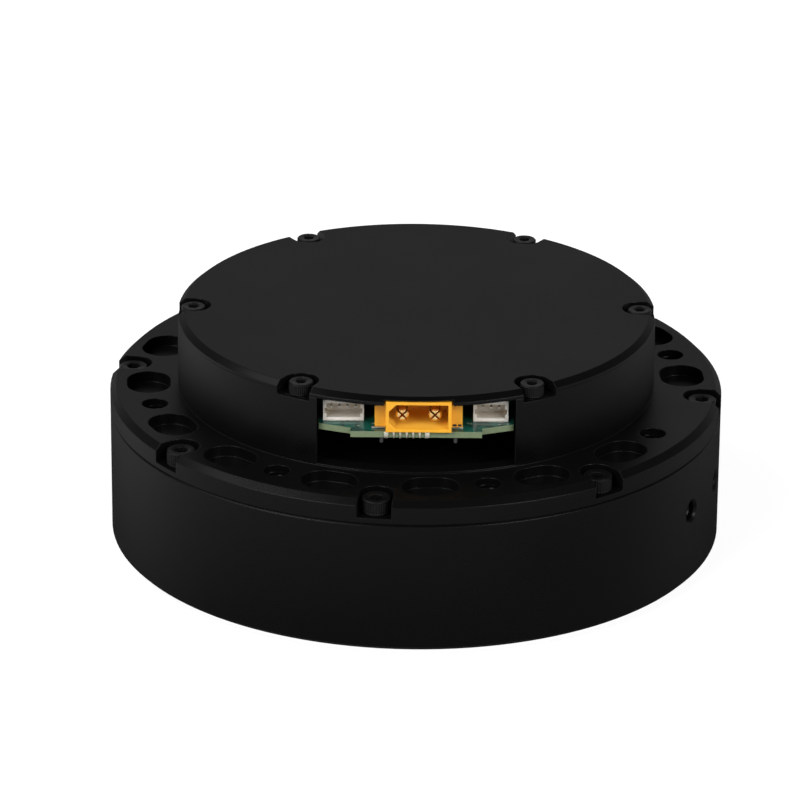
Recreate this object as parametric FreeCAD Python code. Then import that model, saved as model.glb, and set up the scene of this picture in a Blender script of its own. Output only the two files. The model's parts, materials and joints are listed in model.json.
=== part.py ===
import FreeCAD, Part
import math
import os

# Robot joint actuator: an outrunner motor wrapped round a planetary reduction, with the drive
# electronics in a drum on the back.  Millimetres.  Z is the joint axis, the origin is the middle of
# the output face, and +Z points to the rear cover.  Azimuths count from the connector side (-Y)
# towards +X.

# Casing.  Its radii follow from the gears and the motor inside it, and they fill its height.
casing_height = 24.9
drum_height = 12.5
housing_wall = 5.0
housing_floor = 3.2
flange_thickness = 3.9
drum_wall = 2.6
bay_floor = 2.4
cover_thickness = 1.3
cover_chamfer_width = 0.95
cover_chamfer_height = 0.8
flange_chamfer = 1.0
foot_chamfer = 0.6
joint_chamfer = 0.25

# Rear flange pattern
flange_screw_count = 8
flange_screw_azimuth = -7.5
flange_screw_inset = 3.0
flange_seat_thickness = 1.0
screw_slot_width = 5.4
screw_slot_shift = 0.3
rear_mount_count = 8
rear_mount_inset = 6.2
rear_mount_azimuth = 15.0
rear_mount_radius = 2.1
rear_mount_depth = 3.3
pocket_wall = 1.2
pocket_offset = 12.0
pocket_width = 7.0
pocket_length = 9.0
pocket_depth = 1.8

# Cover screws and their lugs
cover_screw_count = 6
cover_screw_azimuth = 30.0
cover_screw_inset = 2.5
cover_notch_radius = 2.8
cover_notch_mouth = 6.1
cover_head_sink = 0.15
lug_thickness = 0.95
lug_width = 3.6
lug_root = 0.6
lug_root_width = 2.2
lug_inset = 0.8
cover_boss_radius = 2.3
cover_boss_inset = 0.5

# Screws: shank radius, head radius, head height, hexagon across flats
flange_screw = {"shank": 1.25, "head": 2.25, "height": 2.4, "hexagon": 2.0, "grip": 8.0}
cover_screw = {"shank": 1.0, "head": 1.9, "height": 1.9, "hexagon": 1.5, "grip": 6.0}
board_screw = {"shank": 1.0, "head": 1.75, "height": 1.3, "hexagon": 1.3, "grip": 5.0}
retainer_screw = {"shank": 1.0, "head": 1.9, "height": 1.0, "hexagon": 1.3, "grip": 4.5}
carrier_screw = {"shank": 1.25, "head": 2.4, "height": 1.3, "hexagon": 1.5, "grip": 6.5}
screw_clearance = 0.1
thread_runout = 0.8

# Mounting holes
front_mount_count = 8
front_mount_inset = 2.6
tapped_m4_radius = 1.65
front_mount_depth = 7.0
side_hole_height = 12.1
side_hole_spread = 7.4
side_hole_depth = 4.0
side_countersink_radius = 2.05
dowel_radius = 1.0
dowel_length = 6.0
dowel_inset = 2.4
dowel_azimuth = 105.0

# Connector window, board and connectors
window_half_width = 15.3
window_sill = 0.3
board_gap_under_cover = 4.6
board_thickness = 1.0
board_clearance = 0.6
board_side_gap = 0.3
tab_half_width = 10.1
tab_inset = 1.2
tab_step = 1.3
shoulder_inset = 4.3
standoff_radius = 2.6
standoff_circle = 28.0
standoff_azimuths = (60.0, 180.0, 300.0)

socket_centre = 0.36
socket_inset = 0.6
socket_width = 10.1
socket_height = 5.0
socket_lift = 0.1
socket_length = 9.5
socket_wall = 0.5
socket_key = 1.1
socket_cavity_depth = 7.6
ear_width = 1.7
ear_setback = 2.2
ear_length = 5.5
ear_height = 3.8
pin_radius = 1.0
pin_pitch = 5.0
pin_recess = 0.95
pin_slot = 0.3
pin_slot_share = 0.7
peg_radius = 0.35
peg_spread = 5.7
peg_setback = 0.9
peg_drop = 1.8
relief_clearance = 0.3

data_inset = 5.3
data_height = 3.4
data_length = 4.0
data_wall = 0.55
data_key = 0.33
data_cavity_depth = 2.9
data_pitch = 1.25
data_left = {"centre": -11.22, "ways": 4, "width": 6.3}
data_right = {"centre": 11.5, "ways": 3, "width": 5.4}
contact_size = 0.3

edge_pad_centre = -1.45
edge_pad_count = 5
edge_pad_pitch = 1.0
edge_pad_width = 0.35
edge_pad_proud = 0.2
edge_pad_drop = 0.05
end_pad_spread = 3.15
end_pad_width = 0.75

chip_size = (5.2, 6.0, 1.0)
chip_circle = 21.0
chip_azimuths = (75.0, 105.0, 135.0, 225.0, 255.0, 285.0)
capacitor_radius = 3.15
capacitor_height = 5.4
capacitor_circle = 22.0
capacitor_azimuths = (130.0, 150.0, 210.0, 230.0)
controller_size = (10.0, 10.0, 1.0)
controller_setback = 7.0
encoder_size = (5.0, 5.0, 0.9)

# Phase leads and the passage they take past the rotor
lead_azimuth = 70.0
lead_radius = 0.75
lead_pitch = 1.9
lead_bend = 1.6
passage_width = 6.4
passage_depth = 2.6
passage_roof = 1.7
passage_exit = 2.4
lead_exit_inset = 0.9

# Motor.  Its radii stack outwards from the tube round the ring gear.
tube_wall = 2.5
stator_depth = 9.5
slot_count = 36
yoke_depth = 2.2
tooth_width = 2.4
shoe_depth = 1.0
slot_mouth = 1.3
coil_gap = 0.25
coil_overhang = 2.1
coil_outer_gap = 0.4
coil_floor_gap = 1.2
coil_web_gap = 1.2
stator_ledge = 1.1
air_gap = 0.4
magnet_count = 42
magnet_thickness = 2.0
magnet_gap_degrees = 0.9
magnet_overhang = 0.5
magnet_ledge = 0.2
back_iron = 2.0
rotor_clearance = 0.6
web_thickness = 1.6
rotor_hub_rim = 1.95
rotor_hub_depth = 0.7
web_hole_count = 6
web_hole_radius = 6.0
spigot_depth = 0.8
spigot_width = 1.0

# Planetary reduction, 9 to 1
gear_module = 0.5
sun_teeth = 12
planet_teeth = 42
ring_teeth = 96
planet_count = 3
pressure_angle = math.radians(20.0)
tooth_play = 0.12
addendum = 0.9
dedendum = 1.25
gear_inset = 0.4
ring_rim = 2.375
gear_end_gap = 0.45
planet_pin_radius = 2.5
planet_bush_radius = 4.0
running_play = 0.04
shaft_radius = 4.0
journal_radius = 2.0
pilot_bush_radius = 3.5
carrier_thickness = 2.0
carrier_web_gap = 0.55
shaft_hole_gap = 0.8
pin_seat_depth = 2.6
bush_proud = 0.1
post_radius = 4.2
post_gap = 0.95

# Output flange and its crossed-roller bearing
output_proud = 1.2
output_step = 3.4
output_edge = 0.4
output_pilot_radius = 8.0
output_pilot_depth = 2.0
output_bolt_count = 8
output_bolt_circle = 16.0
output_bolt_depth = 6.5
output_dowel_radius = 1.5
output_dowel_circle = 11.7
output_dowel_depth = 5.0
bearing_section = 6.5
bearing_width = 6.5
bearing_split = 0.25
roller_diameter = 3.0
roller_length = 2.8
roller_count = 14
roller_play = 0.03
bearing_lip = 1.2
lip_thickness = 0.7
retainer_thickness = 1.3
retainer_reach = 4.5
retainer_screw_count = 6
retainer_screw_reach = 2.2
seal_width = 1.3
seal_play = 0.08
circlip_thickness = 0.6
circlip_depth = 0.9
circlip_width = 1.7
circlip_gap = 5.0

# Rotor's rear bearing and encoder magnet
rear_bearing_bore = 6.0
rear_bearing_section = 3.0
rear_bearing_width = 4.0
race_thickness = 1.05
shield_thickness = 0.3
shield_play = 0.1
rear_hub_wall = 2.5
rear_lip_width = 1.4
rear_lip_thickness = 1.0
rear_bearing_gap = 0.2
shaft_end_play = 0.6
encoder_magnet_radius = 3.0
encoder_magnet_height = 2.5

# Radii, from the ring gear outwards
ring_pitch_radius = gear_module * ring_teeth / 2
ring_root_radius = ring_pitch_radius + gear_module * dedendum
ring_tip_radius = ring_pitch_radius - gear_module * addendum
gear_bore_radius = ring_root_radius + ring_rim
stator_bore = gear_bore_radius + tube_wall
stator_radius = stator_bore + stator_depth
magnet_bore = stator_radius + air_gap
magnet_radius = magnet_bore + magnet_thickness
bell_radius = magnet_radius + back_iron
motor_bore = bell_radius + rotor_clearance
housing_radius = motor_bore + housing_wall
passage_radius = motor_bore + passage_depth
tooth_root = stator_bore + yoke_depth
shoe_root = stator_radius - shoe_depth
coil_outer = shoe_root - coil_outer_gap
flange_screw_circle = housing_radius - flange_screw_inset
front_mount_circle = housing_radius - front_mount_inset
dowel_circle = housing_radius - dowel_inset
rear_mount_circle = housing_radius - rear_mount_inset
drum_radius = rear_mount_circle - pocket_width / 2 - pocket_wall
drum_bore = drum_radius - drum_wall
cover_screw_circle = drum_radius - cover_screw_inset
cover_boss_circle = drum_bore - cover_boss_inset
lug_inner = cover_screw_circle - cover_notch_radius - lug_root
tab_reach = drum_radius - tab_inset
shoulder_reach = drum_radius - shoulder_inset
shoulder_half_width = window_half_width - board_side_gap
socket_front = drum_radius - socket_inset
ear_front = socket_front - ear_setback
data_front = drum_radius - data_inset

# Radii, from the ring gear inwards
planet_orbit = gear_module * (sun_teeth + planet_teeth) / 2
carrier_radius = ring_tip_radius - post_gap
post_circle = carrier_radius - post_radius
bearing_bore_radius = gear_bore_radius - bearing_section
output_radius = gear_bore_radius - output_step
retainer_radius = gear_bore_radius + retainer_reach
retainer_screw_circle = gear_bore_radius + retainer_screw_reach
rear_bearing_radius = rear_bearing_bore + rear_bearing_section
rotor_hub_radius = rear_bearing_bore + race_thickness + rotor_hub_rim
rear_lip_radius = rear_bearing_radius - rear_lip_width

# Levels up the joint axis
front_face = output_proud
retainer_top = front_face + retainer_thickness
floor_top = front_face + housing_floor
bearing_top = retainer_top + bearing_width
flange_top = front_face + casing_height
joint_face = flange_top - flange_thickness
flange_seat = joint_face + flange_seat_thickness
bay_bottom = joint_face + bay_floor
passage_top = flange_top - passage_roof
web_top = joint_face - rotor_clearance
web_bottom = web_top - web_thickness

coil_bottom = floor_top + coil_floor_gap
coil_top = web_bottom - coil_web_gap
stack_bottom = coil_bottom + coil_overhang
stack_top = coil_top - coil_overhang
rotor_bottom = stack_bottom - magnet_overhang

ring_bottom = bearing_top + lip_thickness
planet_bottom = ring_bottom + gear_inset
spigot_top = planet_bottom - gear_end_gap
pin_seat = spigot_top - pin_seat_depth
carrier_top = web_bottom - rotor_hub_depth - carrier_web_gap
carrier_bottom = carrier_top - carrier_thickness
planet_top = carrier_bottom - gear_end_gap
ring_top = planet_top + gear_inset

rear_bearing_bottom = joint_face + rear_bearing_gap
rear_bearing_top = rear_bearing_bottom + rear_bearing_width
shaft_top = rear_bearing_top + shaft_end_play
cover_top = flange_top + drum_height
drum_top = cover_top - cover_thickness
board_top = drum_top - board_gap_under_cover
board_bottom = board_top - board_thickness
socket_bottom = board_top + socket_lift
socket_top = socket_bottom + socket_height
cover_seat = cover_top - cover_head_sink - cover_screw["height"]
lug_bottom = cover_seat - lug_thickness

origin = FreeCAD.Vector(0, 0, 0)
up = FreeCAD.Vector(0, 0, 1)


def disc(radius, bottom, top, x=0.0, y=0.0):
    return Part.makeCylinder(radius, top - bottom, FreeCAD.Vector(x, y, bottom))


def washer(outer, inner, bottom, top):
    return disc(outer, bottom, top).cut(disc(inner, bottom, top))


def block(low, high):
    size = [b - a for a, b in zip(low, high)]
    return Part.makeBox(*size, FreeCAD.Vector(*low))


def turned(profile):
    """Solid of revolution about the joint axis from (radius, height) corners."""
    corners = [FreeCAD.Vector(radius, 0, height) for radius, height in profile]
    return Part.Face(Part.makePolygon(corners + corners[:1])).revolve(origin, up, 360)


def plate(outline, bottom, top):
    corners = [FreeCAD.Vector(x, y, bottom) for x, y in outline]
    return Part.Face(Part.makePolygon(corners + corners[:1])).extrude(up * (top - bottom))


def turn(shape, azimuth):
    copy = shape.copy()
    copy.rotate(origin, up, azimuth)
    return copy


def spread(shape, count, first=0.0):
    """Equal copies round the joint axis, the first of them at the azimuth given."""
    return [turn(shape, first + 360.0 / count * i) for i in range(count)]


def hexagon(across_flats, bottom, top, y):
    corner = across_flats / math.sqrt(3.0)
    angles = [math.radians(60 * i) for i in range(6)]
    return plate([(corner * math.cos(a), y + corner * math.sin(a)) for a in angles], bottom, top)


def cap_screw(size, circle, seat):
    """Socket-head screw, standing on its seat at the front of a bolt circle."""
    head = disc(size["head"], seat, seat + size["height"], 0, -circle)
    rim = [edge for edge in head.Edges if edge.BoundBox.ZMin > seat + size["height"] / 2
           and edge.Length > size["head"] * 4]
    head = head.makeChamfer(size["height"] * 0.08, rim)
    socket_floor = seat + size["height"] * 0.45
    head = head.cut(hexagon(size["hexagon"], socket_floor, seat + size["height"], -circle))
    return head.fuse(disc(size["shank"], seat - size["grip"], seat, 0, -circle))


def countersunk_body(size, circle, face, direction, grow=0.0):
    """Cone and shank of a countersunk screw whose head is flush with a face."""
    axis = up * direction
    start = FreeCAD.Vector(0, -circle, face)
    cone = Part.makeCone(size["head"], size["shank"], size["height"], start, axis)
    shank = Part.makeCylinder(size["shank"] + grow, size["grip"], start, axis)
    return cone.fuse(shank)


def countersunk_screw(size, circle, face, direction):
    depth = size["height"] * 0.6
    bottom, top = sorted((face, face + direction * depth))
    body = countersunk_body(size, circle, face, direction)
    return body.cut(hexagon(size["hexagon"], bottom, top, -circle))


def tapped_hole(size, circle, seat):
    depth = size["grip"] + thread_runout
    return disc(size["shank"], seat - depth, seat, 0, -circle)


def lead_passage(low, high, bottom, top):
    passage = block((-passage_width / 2, -high, bottom), (passage_width / 2, -low, top))
    return turn(passage, lead_azimuth)


def side_hole():
    """Tapped hole into the side wall, with a countersunk mouth."""
    height = front_face + side_hole_height
    inward = FreeCAD.Vector(0, 1, 0)
    outside = side_countersink_radius / 2
    mouth = FreeCAD.Vector(0, -housing_radius - outside, height)
    bore = Part.makeCylinder(tapped_m4_radius, side_hole_depth + outside, mouth, inward)
    flare = side_countersink_radius - tapped_m4_radius + outside
    cone = Part.makeCone(tapped_m4_radius + flare, tapped_m4_radius, flare, mouth, inward)
    return bore.fuse(cone)


def dowels():
    half = dowel_length / 2
    pin = disc(dowel_radius, joint_face - half, joint_face + half, 0, -dowel_circle)
    return spread(pin, 2, dowel_azimuth)


def main_housing():
    """Front casing: outer wall, floor, and the tube that carries bearing, ring gear and stator."""
    ledge = stator_bore + stator_ledge
    lip = gear_bore_radius - bearing_lip
    body = turned([
        (retainer_radius, front_face),
        (housing_radius - foot_chamfer, front_face),
        (housing_radius, front_face + foot_chamfer),
        (housing_radius, joint_face - joint_chamfer),
        (housing_radius - joint_chamfer, joint_face),
        (motor_bore, joint_face),
        (motor_bore, floor_top),
        (ledge, floor_top),
        (ledge, stack_bottom),
        (stator_bore, stack_bottom),
        (stator_bore, ring_top),
        (gear_bore_radius, ring_top),
        (gear_bore_radius, ring_bottom),
        (lip, ring_bottom),
        (lip, bearing_top),
        (gear_bore_radius, bearing_top),
        (gear_bore_radius, retainer_top),
        (retainer_radius, retainer_top),
    ])
    front_hole = disc(tapped_m4_radius, front_face, front_face + front_mount_depth,
                      0, -front_mount_circle)
    retainer_depth = retainer_screw["grip"] + thread_runout
    retainer_hole = disc(retainer_screw["shank"], front_face, front_face + retainer_depth,
                         0, -retainer_screw_circle)
    cuts = spread(tapped_hole(flange_screw, flange_screw_circle, flange_seat),
                  flange_screw_count, flange_screw_azimuth)
    cuts += spread(front_hole, front_mount_count, rear_mount_azimuth)
    cuts += spread(retainer_hole, retainer_screw_count)
    cuts += [turn(side_hole(), lead_azimuth + side * side_hole_spread) for side in (-1, 1)]
    cuts += dowels()
    cuts.append(lead_passage(motor_bore - passage_depth, passage_radius, floor_top, joint_face))
    return body.cut(cuts)


def screw_slot():
    """Seat for a flange screw: round inside, open to the rim."""
    half = screw_slot_width / 2
    inner = flange_screw_circle - screw_slot_shift
    run = block((-half, -housing_radius - half, flange_seat), (half, -inner, flange_top))
    return run.fuse(disc(half, flange_seat, flange_top, 0, -inner))


def kidney_pocket():
    """Shallow weight-saving pocket with round ends."""
    end = pocket_width / 2
    reach = pocket_length / 2 - end
    floor = flange_top - pocket_depth
    ends = [disc(end, floor, flange_top, side * reach, -rear_mount_circle) for side in (-1, 1)]
    middle = block((-reach, -rear_mount_circle - end, floor),
                   (reach, -rear_mount_circle + end, flange_top))
    return ends[0].fuse([ends[1], middle])


def pocket_azimuths():
    """A pocket on each side of every mounting hole, but none over the lead passage."""
    holes = [rear_mount_azimuth + 360.0 / rear_mount_count * i for i in range(rear_mount_count)]
    places = [hole + side * pocket_offset for hole in holes for side in (-1, 1)]
    return [place for place in places if abs(place - lead_azimuth) > pocket_offset / 2]


def lug_pocket():
    """Recess that a cover lug drops into."""
    half = lug_width / 2 + screw_clearance / 2
    outer = drum_radius - lug_inset + screw_clearance
    return block((-half, -outer, lug_bottom), (half, -lug_inner, drum_top))


def rear_housing():
    """Rear flange, electronics drum and rear bearing hub in one turned and milled casting."""
    hub_top = rear_bearing_top + rear_lip_thickness
    hub_radius = rear_bearing_radius + rear_hub_wall
    body = turned([
        (rear_bearing_radius, joint_face),
        (housing_radius - joint_chamfer, joint_face),
        (housing_radius, joint_face + joint_chamfer),
        (housing_radius, flange_top - flange_chamfer),
        (housing_radius - flange_chamfer, flange_top),
        (drum_radius, flange_top),
        (drum_radius, drum_top),
        (drum_bore, drum_top),
        (drum_bore, bay_bottom),
        (hub_radius, bay_bottom),
        (hub_radius, hub_top),
        (rear_lip_radius, hub_top),
        (rear_lip_radius, rear_bearing_top),
        (rear_bearing_radius, rear_bearing_top),
    ])
    boss = disc(cover_boss_radius, joint_face, drum_top, 0, -cover_boss_circle)
    posts = spread(boss, cover_screw_count, cover_screw_azimuth)
    standoff = disc(standoff_radius, joint_face, board_bottom, 0, -standoff_circle)
    posts += [turn(standoff, azimuth) for azimuth in standoff_azimuths]
    body = body.fuse(posts)

    rear_hole = disc(rear_mount_radius, flange_top - rear_mount_depth, flange_top,
                     0, -rear_mount_circle)
    screw_hole = disc(flange_screw["shank"] + screw_clearance, joint_face, flange_seat,
                      0, -flange_screw_circle)
    cuts = spread(screw_slot(), flange_screw_count, flange_screw_azimuth)
    cuts += spread(screw_hole, flange_screw_count, flange_screw_azimuth)
    cuts += spread(rear_hole, rear_mount_count, rear_mount_azimuth)
    cuts += [turn(kidney_pocket(), azimuth) for azimuth in pocket_azimuths()]
    cuts += spread(lug_pocket(), cover_screw_count, cover_screw_azimuth)
    cuts += spread(cover_notch(), cover_screw_count, cover_screw_azimuth)
    cuts += spread(tapped_hole(cover_screw, cover_screw_circle, cover_seat),
                   cover_screw_count, cover_screw_azimuth)
    cuts += [turn(tapped_hole(board_screw, standoff_circle, board_top), azimuth)
             for azimuth in standoff_azimuths]
    cuts.append(block((-window_half_width, -drum_radius - drum_wall, flange_top + window_sill),
                      (window_half_width, -drum_bore * 0.85, drum_top)))
    cuts += dowels()
    exit_radius = drum_bore - passage_exit
    cuts.append(lead_passage(exit_radius, passage_radius, joint_face, passage_top))
    cuts.append(lead_passage(exit_radius, drum_bore, joint_face, bay_bottom))
    return body.cut(cuts)


def cover_notch():
    """U-notch round a cover screw, opening a little towards the rim."""
    throat = cover_notch_radius
    rim = drum_radius + throat
    mouth = cover_notch_mouth / 2
    flare = plate([(-throat, -cover_screw_circle), (-mouth, -rim), (mouth, -rim),
                   (throat, -cover_screw_circle)], cover_seat, cover_top)
    return flare.fuse(disc(throat, cover_seat, cover_top, 0, -cover_screw_circle))


def rear_cover():
    """Flat cap with a lug under each screw, relieved over the power socket."""
    body = turned([
        (0, drum_top),
        (drum_radius, drum_top),
        (drum_radius, cover_top - cover_chamfer_height),
        (drum_radius - cover_chamfer_width, cover_top),
        (0, cover_top),
    ])
    half = lug_width / 2
    root = lug_root_width / 2
    lug = plate([(-half, lug_inset - drum_radius), (half, lug_inset - drum_radius),
                 (half, -cover_screw_circle), (root, -lug_inner),
                 (-root, -lug_inner), (-half, -cover_screw_circle)], lug_bottom, drum_top)
    body = body.fuse(spread(lug, cover_screw_count, cover_screw_azimuth))
    hole = disc(cover_screw["shank"] + screw_clearance, lug_bottom, cover_seat, 0, -cover_screw_circle)
    cuts = spread(cover_notch(), cover_screw_count, cover_screw_azimuth)
    cuts += spread(hole, cover_screw_count, cover_screw_azimuth)
    reach = socket_width / 2 + relief_clearance
    cuts.append(block((socket_centre - reach, -drum_radius - socket_wall, drum_top),
                      (socket_centre + reach, -socket_front + socket_length + relief_clearance,
                       socket_top + relief_clearance)))
    return body.cut(cuts)


def control_board():
    """Round board with a stepped tab that reaches through the window."""
    front = plate([
        (-shoulder_half_width, -standoff_circle),
        (-shoulder_half_width, -shoulder_reach),
        (-tab_half_width, -tab_reach + tab_step),
        (-tab_half_width, -tab_reach),
        (tab_half_width, -tab_reach),
        (tab_half_width, -tab_reach + tab_step),
        (shoulder_half_width, -shoulder_reach),
        (shoulder_half_width, -standoff_circle),
    ], board_bottom, board_top)
    body = disc(drum_bore - board_clearance, board_bottom, board_top).fuse(front)
    boss = disc(cover_boss_radius + board_clearance / 2, board_bottom, board_top, 0, -cover_boss_circle)
    hole = disc(board_screw["shank"] + screw_clearance, board_bottom, board_top, 0, -standoff_circle)
    cuts = spread(boss, cover_screw_count, cover_screw_azimuth)
    cuts += [turn(hole, azimuth) for azimuth in standoff_azimuths] + power_pegs()
    return body.cut(cuts)


def edge_pads():
    """Row of solder pads wrapped over the tab's front edge, between two wider end pads."""
    ends = [(side * end_pad_spread, end_pad_width) for side in (-1, 1)]
    middle = (edge_pad_count - 1) / 2
    row = [((place - middle) * edge_pad_pitch, edge_pad_width) for place in range(edge_pad_count)]
    pads = []
    for offset, width in row + ends:
        left = edge_pad_centre + offset - width / 2
        pads.append(block((left, -tab_reach - edge_pad_proud, board_bottom - edge_pad_drop),
                          (left + width, -tab_reach, board_top)))
    return pads


def power_socket():
    """Two-pole power connector: keyed shroud, mounting ears and a blind cavity."""
    half = socket_width / 2
    back = -socket_front + socket_length
    shroud = block((socket_centre - half, -socket_front, socket_bottom),
                   (socket_centre + half, back, socket_top))
    ear = half + ear_width
    ears = block((socket_centre - ear, -ear_front, board_top),
                 (socket_centre + ear, -ear_front + ear_length, board_top + ear_height))
    body = shroud.fuse(ears).removeSplitter()
    left = socket_centre - half + socket_wall
    right = socket_centre + half - socket_wall
    low = socket_bottom + socket_wall
    high = socket_top - socket_wall
    corners = [(left + socket_key, low), (right, low), (right, high), (left + socket_key, high),
               (left, high - socket_key), (left, low + socket_key)]
    points = [FreeCAD.Vector(x, -socket_front, z) for x, z in corners]
    cavity = Part.Face(Part.makePolygon(points + points[:1]))
    return body.cut(cavity.extrude(FreeCAD.Vector(0, socket_cavity_depth, 0)))


def power_pins():
    """Pair of split bullet pins."""
    height = socket_bottom + socket_height / 2
    length = socket_cavity_depth - pin_recess
    along = FreeCAD.Vector(0, 1, 0)
    pins = []
    for side in (-1, 1):
        x = socket_centre + side * pin_pitch / 2
        tip = FreeCAD.Vector(x, -socket_front + pin_recess, height)
        pin = Part.makeCylinder(pin_radius, length, tip, along)
        rim = [edge for edge in pin.Edges if edge.BoundBox.YMax < tip.y + pin_radius / 2]
        pin = pin.makeChamfer(pin_radius * 0.25, rim)
        reach = pin_radius * 1.1
        slot = block((x - reach, tip.y, height - pin_slot / 2),
                     (x + reach, tip.y + length * pin_slot_share, height + pin_slot / 2))
        cuts = [slot.copy().rotate(tip, along, lean) for lean in (45, 135)]
        pins.append(pin.cut(cuts))
    return pins


def power_pegs():
    """Soldered pegs under the connector's ears."""
    y = -ear_front + peg_setback
    return [disc(peg_radius, board_bottom - peg_drop, board_top, socket_centre + side * peg_spread, y)
            for side in (-1, 1)]


def data_socket(size):
    """Side-entry signal connector with keyed side walls."""
    centre = size["centre"]
    half = size["width"] / 2
    top = board_top + data_height
    back = -data_front + data_length
    body = block((centre - half, -data_front, board_top), (centre + half, back, top))
    inside = half - data_wall
    deep = -data_front + data_cavity_depth
    cavity = block((centre - inside, -data_front, board_top + data_wall),
                   (centre + inside, deep, top - data_wall))
    keyed = inside + data_key
    keyway = block((centre - keyed, -data_front, board_top + data_height * 0.35),
                   (centre + keyed, deep, board_top + data_height * 0.6))
    return body.cut([cavity, keyway])


def data_contacts():
    """Signal pins inside both data sockets."""
    pins = []
    half = contact_size / 2
    height = board_top + data_height * 0.6
    for size in (data_left, data_right):
        for way in range(size["ways"]):
            x = size["centre"] + data_pitch * (way - (size["ways"] - 1) / 2)
            pins.append(block((x - half, -data_front + data_wall, height - half),
                              (x + half, -data_front + data_cavity_depth, height + half)))
    return pins


def centred_block(size, y, bottom):
    width, depth, height = size
    return block((-width / 2, y - depth / 2, bottom), (width / 2, y + depth / 2, bottom + height))


def power_transistors():
    chip = centred_block(chip_size, -chip_circle, board_top)
    return [turn(chip, azimuth) for azimuth in chip_azimuths]


def bus_capacitors():
    """Cans hanging under the board."""
    can = disc(capacitor_radius, board_bottom - capacitor_height, board_bottom, 0, -capacitor_circle)
    return [turn(can, azimuth) for azimuth in capacitor_azimuths]


def motor_controller():
    return centred_block(controller_size, controller_setback, board_top)


def encoder_chip():
    return centred_block(encoder_size, 0, board_bottom - encoder_size[2])


def stator_core():
    """Slotted lamination stack: yoke, teeth and pole shoes drawn as one outline."""
    pitch = 2 * math.pi / slot_count
    shoe_half = stator_radius * pitch / 2 - slot_mouth / 2
    tooth_half = tooth_width / 2
    outline = []
    for slot in range(slot_count):
        angle = pitch * slot
        for radius, offset in ((tooth_root, -tooth_half), (shoe_root, -tooth_half),
                               (shoe_root + shoe_depth / 2, -shoe_half), (stator_radius, -shoe_half),
                               (stator_radius, shoe_half), (shoe_root + shoe_depth / 2, shoe_half),
                               (shoe_root, tooth_half), (tooth_root, tooth_half)):
            along = math.sqrt(radius ** 2 - offset ** 2)
            outline.append((along * math.cos(angle) - offset * math.sin(angle),
                            along * math.sin(angle) + offset * math.cos(angle)))
    return plate(outline, stack_bottom, stack_top).cut(disc(stator_bore, stack_bottom, stack_top))


def stator_windings():
    """One coil round every tooth."""
    tooth_half = tooth_width / 2
    outer_half = tooth_root * math.tan(math.pi / slot_count) - coil_gap
    inner = math.hypot(tooth_root, outer_half)
    coil = block((-outer_half, -coil_outer, coil_bottom),
                 (outer_half, -inner, coil_top))
    core = block((-tooth_half, -coil_outer, stack_bottom), (tooth_half, -inner, stack_top))
    return spread(coil.cut(core), slot_count)


def lead(offset):
    """A phase lead: out under the rotor, up the wall, back over it and up to the board."""
    wall = motor_bore + passage_depth / 2
    riser = drum_bore - lead_exit_inset
    low = (floor_top + rotor_bottom) / 2
    high = (joint_face + passage_top) / 2
    route = [(coil_outer, low), (wall, low), (wall, high), (riser, high), (riser, board_bottom)]
    points = [FreeCAD.Vector(offset, -radius, height) for radius, height in route]
    edges = []
    start = points[0]
    for before, corner, after in zip(points, points[1:], points[2:]):
        entry = corner + (before - corner).normalize() * lead_bend
        leave = corner + (after - corner).normalize() * lead_bend
        centre = entry + leave - corner
        middle = centre + (corner - centre).normalize() * lead_bend
        edges.append(Part.LineSegment(start, entry).toShape())
        edges.append(Part.Arc(entry, middle, leave).toShape())
        start = leave
    edges.append(Part.LineSegment(start, points[-1]).toShape())
    section = Part.Wire([Part.makeCircle(lead_radius, points[0], FreeCAD.Vector(0, -1, 0))])
    return turn(Part.Wire(edges).makePipeShell([section], True, False), lead_azimuth)


def phase_leads():
    return [lead(lead_pitch * place) for place in (-1, 0, 1)]


def involute(radius, base):
    if radius <= base:
        return 0.0
    swing = math.sqrt((radius / base) ** 2 - 1)
    return swing - math.atan(swing)


def gear_outline(teeth, tip, root, play, phase=0.0):
    """Closed outline of involute teeth, the first of them centred on the phase angle."""
    pitch_radius = gear_module * teeth / 2
    base = pitch_radius * math.cos(pressure_angle)
    at_pitch = (math.pi / 2 - play / gear_module) / teeth
    radii = [root, tip] if root >= base else [root, base, tip]
    flank = [(radius, at_pitch + involute(pitch_radius, base) - involute(radius, base))
             for radius in radii]
    outline = []
    for tooth in range(teeth):
        centre = phase + 2 * math.pi * tooth / teeth
        for radius, half in flank:
            outline.append((radius * math.cos(centre - half), radius * math.sin(centre - half)))
        for radius, half in reversed(flank):
            outline.append((radius * math.cos(centre + half), radius * math.sin(centre + half)))
    return outline


def outer_gear(teeth, bottom, top, phase=0.0):
    pitch_radius = gear_module * teeth / 2
    tip = pitch_radius + gear_module * addendum
    root = pitch_radius - gear_module * dedendum
    return plate(gear_outline(teeth, tip, root, tooth_play, phase), bottom, top)


def ring_gear():
    """Fixed internal gear: the tooth spaces are cut as the outline of an outer gear."""
    start = math.radians(-90) + math.pi / ring_teeth
    spaces = gear_outline(ring_teeth, ring_root_radius, ring_tip_radius, -tooth_play, start)
    return disc(gear_bore_radius, ring_bottom, ring_top).cut(plate(spaces, ring_bottom, ring_top))


def sun_gear():
    """Sun pinion cut on the rotor shaft, with a pilot journal at its front end."""
    body = outer_gear(sun_teeth, spigot_top, carrier_bottom, math.radians(-90))
    journal = disc(journal_radius, pin_seat, spigot_top)
    shaft = disc(shaft_radius, carrier_bottom, shaft_top)
    return body.fuse([journal, shaft])


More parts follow.
